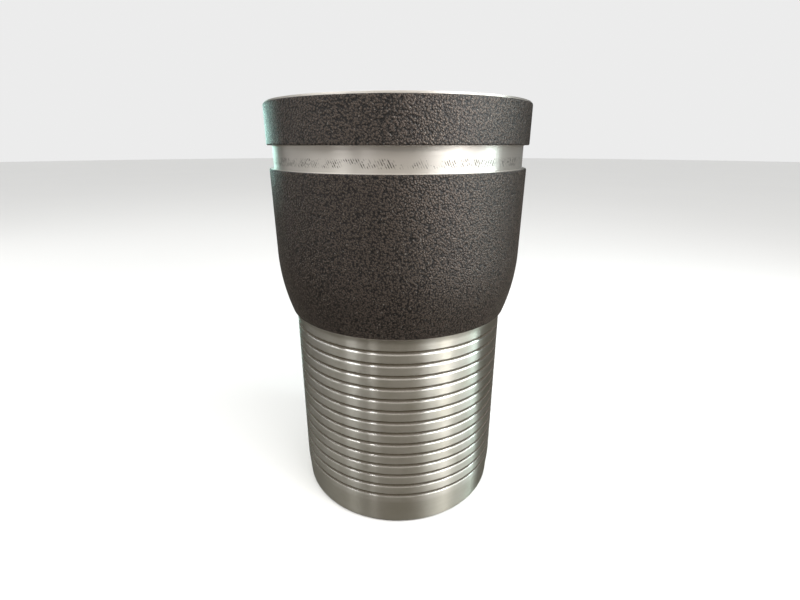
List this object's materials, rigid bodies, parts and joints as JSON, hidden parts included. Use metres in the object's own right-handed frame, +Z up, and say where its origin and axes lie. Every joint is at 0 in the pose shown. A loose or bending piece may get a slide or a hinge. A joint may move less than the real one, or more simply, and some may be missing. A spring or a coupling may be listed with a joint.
{
  "type": "combination nipple",
  "caption": "Grooved pipe end by ringed hose shank, one-piece metal combination nipple with a bell-shaped body and a through passage.",
  "frame": {"origin": "centre of the hose shank's free end face, which is the bottom face", "axes": "+Z up the pipe axis, from the hose shank to the grooved end; round about Z"},
  "size_m": [0.1142, 0.1142, 0.185],
  "materials": {
    "metal": "dark blasted cast skin on nose and body, bright turned groove and shank"
  },
  "bodies": {
    "root": {"nipple_body": "metal"}
  },
  "joints": []
}
